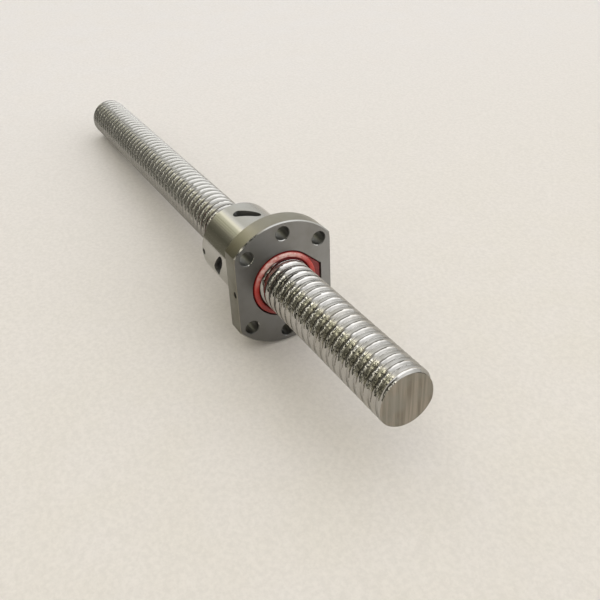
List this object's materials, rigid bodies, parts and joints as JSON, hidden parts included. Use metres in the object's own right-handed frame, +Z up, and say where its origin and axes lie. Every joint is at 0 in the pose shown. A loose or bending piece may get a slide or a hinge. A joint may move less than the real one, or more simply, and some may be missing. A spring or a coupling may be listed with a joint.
{
  "type": "ball screw assembly",
  "caption": "Right-hand ball screw with a bare threaded shaft and a two-flat flanged ball nut with bolt holes, red wipers and return inserts.",
  "frame": {"origin": "on the screw's axis, at the middle of the screw's length", "axes": "+X along the screw towards the end that the nut's flange faces, +Z up, at a right angle to X and in the plane of the flange's two flats; +Y across the flats"},
  "size_m": [0.37, 0.048, 0.062],
  "materials": {
    "screw_steel": "polished rolled and hardened bearing steel",
    "nut_steel": "ground body, fine turned satin flange",
    "ball_steel": "mirror polished",
    "wiper_nylon": "moulded, semi-gloss",
    "insert_nylon": "moulded, matt",
    "black_oxide_steel": "black oxide"
  },
  "bodies": {
    "screw": {"screw_shaft": "screw_steel"},
    "nut_carriage": {"rear_wiper": "wiper_nylon"},
    "nut": {"nut_body": "nut_steel", "front_wiper": "wiper_nylon", "front_wiper_screw": "black_oxide_steel", "rear_wiper_screw": "black_oxide_steel", "return_insert_1": "insert_nylon", "return_insert_2": "insert_nylon", "return_insert_3": "insert_nylon", "return_insert_4": "insert_nylon", "ball_train_1": "ball_steel", "ball_train_2": "ball_steel", "ball_train_3": "ball_steel", "ball_train_4": "ball_steel"}
  },
  "joints": [
    {"name": "nut_travel", "type": "slide", "parent": "screw", "child": "nut_carriage", "axis": [1, 0, 0], "range_m": [-0.2195, 0.0905]},
    {"name": "nut_turn", "type": "hinge", "parent": "nut_carriage", "child": "nut", "pos_m": [0.09, 0, 0], "axis": [1, 0, 0], "range_deg": [-15768, 6480]}
  ],
  "couplings": [
    {"joint": "nut_travel", "follows": "nut_turn", "m_per_rad": 0.00079577}
  ]
}
